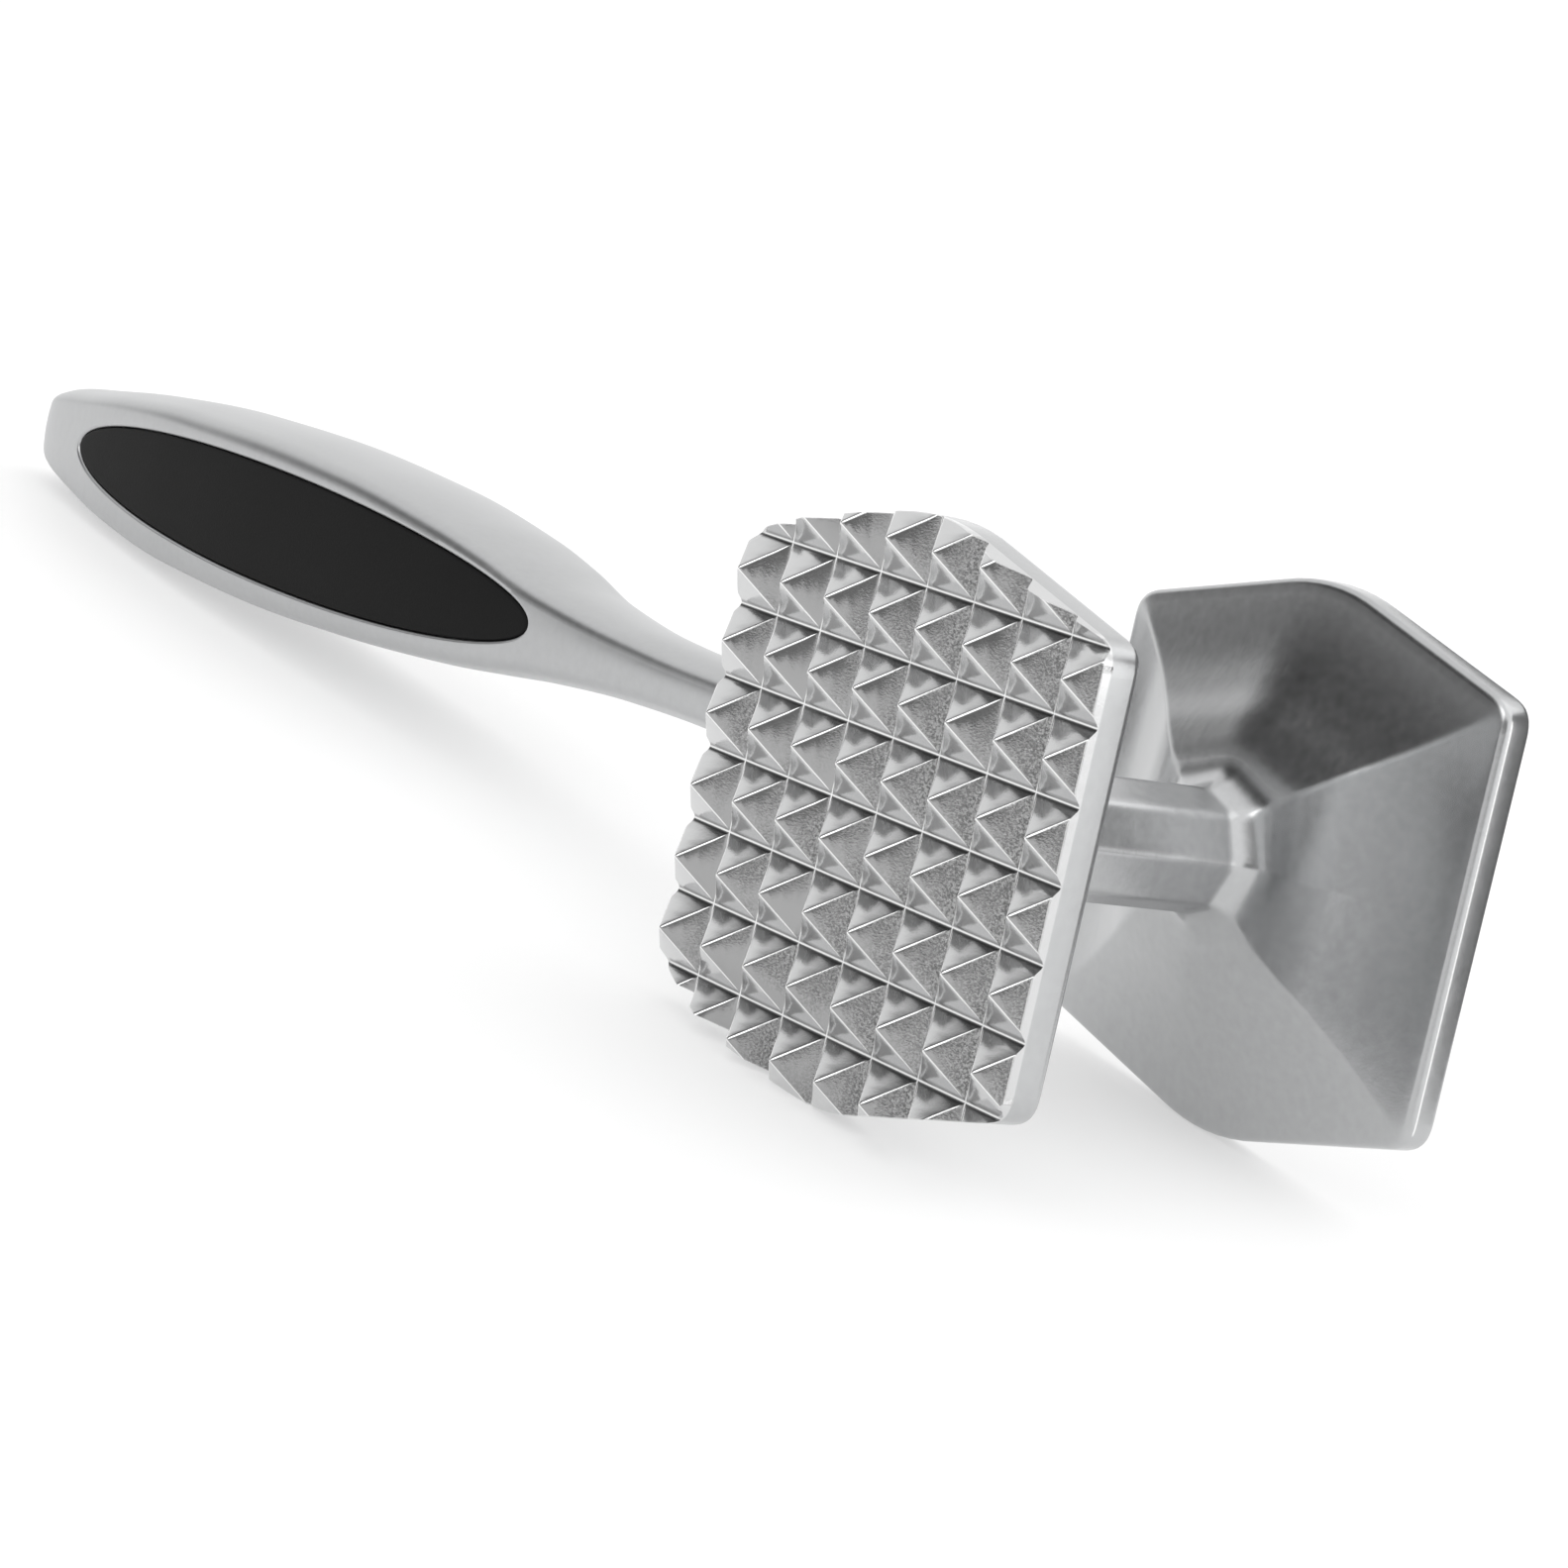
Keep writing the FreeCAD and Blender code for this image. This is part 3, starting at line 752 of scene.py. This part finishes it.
# %% Wires and the bench
class Wire:
    """One output socket, which can be added to, multiplied and so on like a number."""

    def __init__(self, bench, socket):
        self.bench = bench
        self.socket = socket

    def math(self, operation, first, second=0.0):
        return self.bench.node("ShaderNodeMath", {"operation": operation}, {0: first, 1: second})

    def __add__(self, other):
        return self.math("ADD", self, other)

    def __radd__(self, other):
        return self.math("ADD", other, self)

    def __sub__(self, other):
        return self.math("SUBTRACT", self, other)

    def __rsub__(self, other):
        return self.math("SUBTRACT", other, self)

    def __mul__(self, other):
        return self.math("MULTIPLY", self, other)

    def __rmul__(self, other):
        return self.math("MULTIPLY", other, self)

    def smooth(self, low, high):
        """0 below low, 1 above high, and a soft step between."""
        return self.bench.node("ShaderNodeMapRange", {"interpolation_type": "SMOOTHSTEP"},
                               {"Value": self, "From Min": low, "From Max": high})


class Bench:
    """Builds the node tree of one material or of the world."""

    def __init__(self, owner):
        owner.use_nodes = True
        self.tree = owner.node_tree
        self.tree.nodes.clear()

    def node(self, kind, settings=None, inputs=None, output=0):
        """Any node: its type, its settings, and the values or wires of its inputs."""
        made = self.tree.nodes.new(kind)
        for name, value in (settings or {}).items():
            setattr(made, name, value)
        for name, value in (inputs or {}).items():
            if isinstance(value, Wire):
                self.tree.links.new(value.socket, made.inputs[name])
            else:
                made.inputs[name].default_value = value
        return Wire(self, made.outputs[output])

    def noise(self, where, scale, detail=2.0, roughness=0.5):
        return self.node("ShaderNodeTexNoise", {}, {"Vector": where, "Scale": scale, "Detail": detail,
                                                    "Roughness": roughness})

    def blend(self, share, first, second):
        """A colour between two, by share."""
        return self.node("ShaderNodeMix", {"data_type": "RGBA"}, {0: share, 6: first, 7: second}, 2)

    def bump(self, height, distance, strength=1.0):
        return self.node("ShaderNodeBump", {}, {"Height": height, "Distance": distance, "Strength": strength})

    def surface(self, inputs):
        shader = self.node("ShaderNodeBsdfPrincipled", {}, inputs)
        self.node_output("ShaderNodeOutputMaterial", shader)

    def node_output(self, kind, wire):
        end = self.tree.nodes.new(kind)
        self.tree.links.new(wire.socket, end.inputs[0])


def grey(value, tint=0.0):
    """A grey colour, a touch cooler with a positive tint."""
    return (value * (1 - tint), value, value * (1 + tint), 1.0)


print("bench ready")

# %% [markdown]
# ## A pattern that keeps to the tool
# Wear and casting marks sit in fixed places on the casting, so the metal has to know where on the tool a
# point lies. The pieces lie tilted in the frame, and a Mapping node turns a point's place back into the
# tool's own x, y and z in millimetres. A painted map could do the same, but would need its own unwrapping.

# %% Where a point lies on the tool
def on_tool(bench):
    """The tool's own directions at a surface point, as x, y, z wires in millimetres, and as one vector."""
    where = bench.node("ShaderNodeTexCoord", output=3)
    turned = TOOL.to_3x3().normalized().to_euler()
    place = bench.node("ShaderNodeMapping", {"vector_type": "TEXTURE"},
                       {"Vector": where, "Location": tuple(head_middle), "Rotation": tuple(turned),
                        "Scale": (MM, MM, MM)})
    split = bench.node("ShaderNodeSeparateXYZ", {}, {0: place}).socket.node
    return [Wire(bench, socket) for socket in split.outputs] + [place]


print("a millimetre on the tool is", MM, "m in the frame")

# %% [markdown]
# ## Wear, casting marks and painted light on the teeth
# Tumbling rubs hardest on whatever stands proud, so the plate's edge is bright. The ridges between the flanks
# are bright too: partly that rubbed wear, partly a painted highlight. A fine painted highlight runs along the
# floor of each groove, and painted shade darkens the narrow trenches beside it. The mould was sandier on the
# steep flanks on one side of each tooth. The teeth lie on a regular grid, so all of this is plain maths: the
# gap to the nearest groove each way, and a ridge is where the two gaps are equal. Each mask is 0 where its
# mark is missing and 1 where it is full.

# %% Marks of wear, casting and painted light
def tooth_marks(bench, x, y, z):
    """Masks on the toothed plate: worn edges, ridges worn and painted bright, painted highlight and shade by
    the grooves, sandy flanks.
    """
    half = TOOTH_PITCH / 2
    on_teeth = (-1 * y).smooth(HALF_SPAN - 0.25, HALF_SPAN + 0.02)
    gap_x, gap_z = x.math("PINGPONG", x, half), z.math("PINGPONG", z, half)
    low = gap_x.math("MINIMUM", gap_x, gap_z)
    aside = (gap_x - gap_z).math("ABSOLUTE", gap_x - gap_z)
    # the ridges: rubbed wear with a painted highlight over it
    ridge = (1 - aside.smooth(0.04, 0.15)) * low.smooth(0.25, 0.7)
    # painted highlight along the floors of the grooves that run along x
    groove_highlight = 1 - gap_z.smooth(0.04, 0.12)
    # painted highlight along the floors of the grooves that run along z, strongest near the crossings
    cusp = (1 - gap_x.smooth(0.02, 0.13)) * (1.25 - gap_z * 0.45)
    # painted shade in the narrow strips beside the floors of the grooves along x
    trench_shade = gap_z.smooth(0.10, 0.16) * (1 - gap_z.smooth(0.20, 0.50))
    far_x = x.math("ABSOLUTE", x)
    near_x = far_x.math("MINIMUM", far_x, GABLE_RADIUS * math.sin(GABLE_ANGLE))
    drop = near_x * near_x * (0.5 / GABLE_RADIUS) + (far_x - near_x) * GABLE_SLOPE
    top = gable(0, PLATE_HALF_X, PLATE_CORNER_Z, GABLE_SLOPE, GABLE_RADIUS)
    to_top, to_side = top - drop - z.math("ABSOLUTE", z), PLATE_HALF_X - far_x
    to_edge = to_top.math("MINIMUM", to_top, to_side)
    to_edge = to_edge.math("MINIMUM", to_edge, to_top + to_side - 1.5 * PLATE_CORNER_CUT)
    inside = to_edge.smooth(0.01, 0.04) * on_teeth
    edge = (1 - to_edge.smooth(0.05, 0.12)) * 0.7
    flank = (gap_z - gap_x).smooth(0.0, 0.12)
    sandy = flank * (1.1 - gap_x * 0.36)
    # rubbed wear on the plate's edge, and wear plus painted highlight on the ridges
    worn_and_highlit = ridge.math("MAXIMUM", ridge, edge)
    proud_and_highlit = worn_and_highlit.math("MAXIMUM", worn_and_highlit, cusp.math("MINIMUM", cusp, 1.0))
    return [mask * inside for mask in (proud_and_highlit, groove_highlight, trench_shade, flank, sandy)] + [on_teeth]


print("masks repeat every", TOOTH_PITCH, "mm")

# %% [markdown]
# ## Satin cast metal
# The casting has been tumbled to a satin: grey and evenly dull, with a very fine grain and faint waves
# where the metal cooled. The toothed face is a little brighter and smoother than the rest. The colour is
# built up in layers: clean metal, duller flanks, sandy dust, painted shade in the trenches, and last the
# bright lines, which are rubbed wear on the edges, wear plus painted highlight on the ridges, and painted
# highlight on the groove floors. A fine bright line on the smooth plate's side shows where the mould parted.

# %% Cast metal
PARTING_Y = 23.2                 # where the two halves of the mould met on the smooth plate's side


def make_cast_metal(material):
    """Fills in the metal of the head and the handle."""
    bench = Bench(material)
    x, y, z, place = on_tool(bench)
    worn_and_highlit, groove_highlight, trench_shade, flank, foot_sand, on_teeth = tooth_marks(bench, x, y, z)
    grain = bench.noise(place, 5.0, 3.0, 0.6)
    sand = bench.noise(place, 4.4, 2.0, 0.75)
    mottle = bench.noise(place, 0.9, 4.0, 0.6)
    waves = bench.noise(place, 0.10, 2.0, 0.4)
    sandy = foot_sand * (bench.noise(place, 0.11, 2.0, 0.5) + x * 0.006).smooth(0.34, 0.62)
    plain = bench.blend(mottle, grey(0.455, 0.01), grey(0.535, 0.01))
    clean = bench.blend(on_teeth * 0.50, plain, grey(0.80))
    dull = bench.blend(flank * 0.68, clean, grey(0.24))
    dusty = bench.blend(sandy * 0.8, dull, bench.blend(sand.smooth(0.38, 0.62), grey(0.10), grey(0.48)))
    # painted shade darkens the trenches beside the groove floors
    shaded = bench.blend(trench_shade * 0.6, dusty, grey(0.14))
    # the bright lines: rubbed wear on the edges, painted highlight on the ridges and on the groove floors
    rubbed_and_highlit = worn_and_highlit * grain.smooth(0.2, 0.45)
    off_parting = (y - PARTING_Y).math("ABSOLUTE", y - PARTING_Y)
    on_far_side = x.smooth(PLATE_HALF_X - 0.20, PLATE_HALF_X - 0.08)
    parting = (1 - off_parting.smooth(0.05, 0.16)) * on_far_side
    # the painted highlight on the floors of the grooves along x joins the bright lines
    bright = rubbed_and_highlit.math("MAXIMUM", rubbed_and_highlit, groove_highlight * 0.55)
    colour = bench.blend(bright.math("MAXIMUM", bright, parting * 0.8), shaded, grey(0.93))
    height = grain * 0.25 + mottle * 0.5 + waves * 2.0 + sandy * sand * 6.0
    rough = (mottle * 0.08 + 0.20 + sandy * 0.14 + rubbed_and_highlit * 0.12 + (-1 * x).smooth(20, 60) * 0.12
             - on_teeth * 0.09)
    bench.surface({"Base Color": colour, "Metallic": 1.0, "Roughness": rough,
                   "Normal": bench.bump(height, 0.00002, 0.9)})


make_cast_metal(cast_metal)
print("nodes in the cast metal", len(cast_metal.node_tree.nodes))

# %% [markdown]
# ## Soft grip, hard plastic and steel
# The inlay is a dull black soft plastic with a fine even texture. Under it lies a hard plastic base, and
# the stud and the pin are plain steel. Those four stay as the CAD made them, because nothing of them shows,
# but each still gets a real finish. A fine noise in colour, roughness and bump is enough for all three.

# %% Other materials
def make_soft_grip():
    """Dull black soft plastic."""
    material = bpy.data.materials.new("soft grip")
    bench = Bench(material)
    where = bench.node("ShaderNodeTexCoord", output=3)
    texture = bench.noise(where, 3800.0, 2.0, 0.5)
    patches = bench.noise(where, 120.0, 3.0, 0.5)
    bench.surface({"Base Color": bench.blend(patches, grey(0.008), grey(0.012)),
                   "Roughness": patches * 0.12 + 0.55, "Specular IOR Level": 0.09,
                   "Normal": bench.bump(texture, 0.00004, 0.6)})
    return material


def make_plain(name, low, high, metallic, roughness):
    """An even grey finish between two levels, for what lies hidden."""
    material = bpy.data.materials.new(name)
    bench = Bench(material)
    where = bench.node("ShaderNodeTexCoord", output=3)
    texture = bench.noise(where, 2500.0, 2.0, 0.5)
    bench.surface({"Base Color": bench.blend(texture, grey(low), grey(high)), "Metallic": metallic,
                   "Roughness": texture * 0.15 + roughness, "Normal": bench.bump(texture, 0.00002, 0.5)})
    return material


soft_grip = make_soft_grip()
hard_plastic = make_plain("hard plastic", 0.02, 0.03, 0.0, 0.40)
steel = make_plain("steel", 0.50, 0.60, 1.0, 0.28)
for piece in inlays.values():
    piece.data.materials.append(soft_grip)
for node, material in (("front_inlay_carrier", hard_plastic), ("rear_inlay_carrier", hard_plastic),
                       ("handle_stud", steel), ("lock_pin", steel)):
    mesh = frame["nodes"][node].data
    mesh.materials.clear()
    mesh.materials.append(material)
print("materials", sorted(material.name for material in bpy.data.materials if material.users))

# %% [markdown]
# ## Every piece rides on root, and its CAD piece is hidden
# Nothing on this tool moves, so every piece rides on the one body, root. The head, the handle and the two
# inlays each stand for their CAD piece, which stays behind for collisions only.

# %% Ride and replace
for piece, node, slot in ((head, "head_casting", "cast_metal"), (handle, "handle_casting", "cast_metal"),
                          (inlays["front_grip"], "front_inlay", "soft_grip"),
                          (inlays["rear_grip"], "rear_inlay", "soft_grip")):
    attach(piece, "root")
    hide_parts(node)
    print(piece.name, "stands for", node)

# %% [markdown]
# ## Table, light and camera
# Metal shows what is round it, so the studio matters as much as the material. The mallet lies on a wide
# white table that glows a little, like a light table, so its shadows stay soft. It is under a large bright
# ceiling and in front of a bright wall. Only a low band of the room on the teeth's side is dim, and that
# models the hollow backs of the plates. A small lamp in that band lights the fillets that face it. A dark
# card stands out of sight behind the smooth plate: it draws the dark edge that parts the bright rim from
# the white table. Area lights could do all of this, but a lit room gives metal something to mirror.

# %% Table and light
FLOOR_SIZE = 30.0
CARD_NEAR = (0.232, 0.118)        # the card's two ends on the table
CARD_FAR = (-0.100, 0.250)
CARD_BOTTOM = 0.001
CARD_TOP = 0.16

floor_corners = [(x * FLOOR_SIZE, y * FLOOR_SIZE, 0) for x, y in ((-1, -1), (1, -1), (1, 1), (-1, 1))]
floor = mesh_object("table", floor_corners, [(0, 1, 2, 3)])
floor_material = bpy.data.materials.new("white table")
bench = Bench(floor_material)
bench.surface({"Base Color": grey(0.52), "Roughness": 0.7, "Specular IOR Level": 0.1,
               "Emission Color": grey(1.0), "Emission Strength": 0.46})
floor.data.materials.append(floor_material)

card_corners = [(*CARD_NEAR, CARD_BOTTOM), (*CARD_FAR, CARD_BOTTOM), (*CARD_FAR, CARD_TOP),
                (*CARD_NEAR, CARD_TOP)]
card = mesh_object("dark_card", card_corners, [(0, 1, 2, 3)])
card_material = bpy.data.materials.new("black card")
bench = Bench(card_material)
bench.surface({"Base Color": grey(0.22), "Roughness": 0.9, "Specular IOR Level": 0.1})
card.data.materials.append(card_material)
card.visible_camera = card.visible_diffuse = card.visible_shadow = False

world = bpy.data.worlds.new("studio")
bpy.context.scene.world = world
bench = Bench(world)
direction = bench.node("ShaderNodeTexCoord", output=0)
parts = bench.node("ShaderNodeSeparateXYZ", {}, {0: direction}).socket.node
toward_right, toward_back, height = (Wire(bench, parts.outputs[i]) for i in range(3))
far_left = (-1 * toward_right).smooth(0.25, 0.60)
dim_band = (-1 * toward_back).smooth(0.16, 0.44) * (1 - (height - far_left * 0.30).smooth(0.36, 0.58))
calm_corner = far_left * height.smooth(0.05, 0.45)
glow = (toward_right * 0.75 + toward_back * 0.66).smooth(0.80, 0.98)
lamp = (toward_back * -0.87 + toward_right * 0.06 + height * 0.48).smooth(0.92, 0.98)
strength = 1.25 - dim_band * 0.95 - calm_corner * 0.26 + glow * 0.55 + lamp * 1.5
background = bench.node("ShaderNodeBackground", {}, {"Color": grey(1.0), "Strength": strength})
bench.node_output("ShaderNodeOutputWorld", background)


def area_light(name, place, aim, size, power):
    """A soft square light at a place, turned to aim at a point."""
    data = bpy.data.lights.new(name, "AREA")
    data.shape = "SQUARE"
    data.size = size
    data.energy = power
    obj = bpy.data.objects.new(name, data)
    bpy.context.scene.collection.objects.link(obj)
    obj.location = place
    obj.rotation_euler = (Vector(aim) - Vector(place)).to_track_quat("-Z", "Y").to_euler()
    return obj


area_light("soft box above", (0.35, 0.45, 1.2), head_middle, 1.2, 1.5)
bpy.context.scene.view_settings.view_transform = "Standard"
print("lights", [light.name for light in bpy.data.lights])

# %% [markdown]
# ## The camera
# The camera looks past the head from the teeth's side, with the handle running back behind it. It stands
# off with a long lens, which keeps the near and far ends in proportion, and it is rolled a little about its
# own axis, so the mallet leans. Its place is counted from the middle of the head, so it follows the frame.

# %% Camera
AZIMUTH = 51.978
ELEVATION = 12.275
ROLL = -16.255
DISTANCE = 0.4268
TO_THE_RIGHT = 0.02887           # how far the head's middle lies to the right of the camera's axis
BELOW = 0.00508                  # and how far below it
LENS = 104.4

turn, lift, roll = (math.radians(v) for v in (AZIMUTH, ELEVATION, ROLL))
forward = Vector((-math.sin(turn) * math.cos(lift), math.cos(turn) * math.cos(lift), -math.sin(lift)))
level_right = forward.cross(Vector((0, 0, 1))).normalized()
level_up = level_right.cross(forward)
up = level_up * math.cos(roll) + level_right * math.sin(roll)
right = level_right * math.cos(roll) - level_up * math.sin(roll)
camera = bpy.data.objects.new("camera", bpy.data.cameras.new("camera"))
bpy.context.scene.collection.objects.link(camera)
place = head_middle - forward * DISTANCE - right * TO_THE_RIGHT + up * BELOW
camera.matrix_world = Matrix.Translation(place) @ Matrix((right, up, -forward)).transposed().to_4x4()
camera.data.sensor_width = 36.0
camera.data.lens = LENS
camera.data.clip_start = 0.01
camera.data.clip_end = 50.0
bpy.context.scene.camera = camera
print("camera at", [round(v, 3) for v in place])
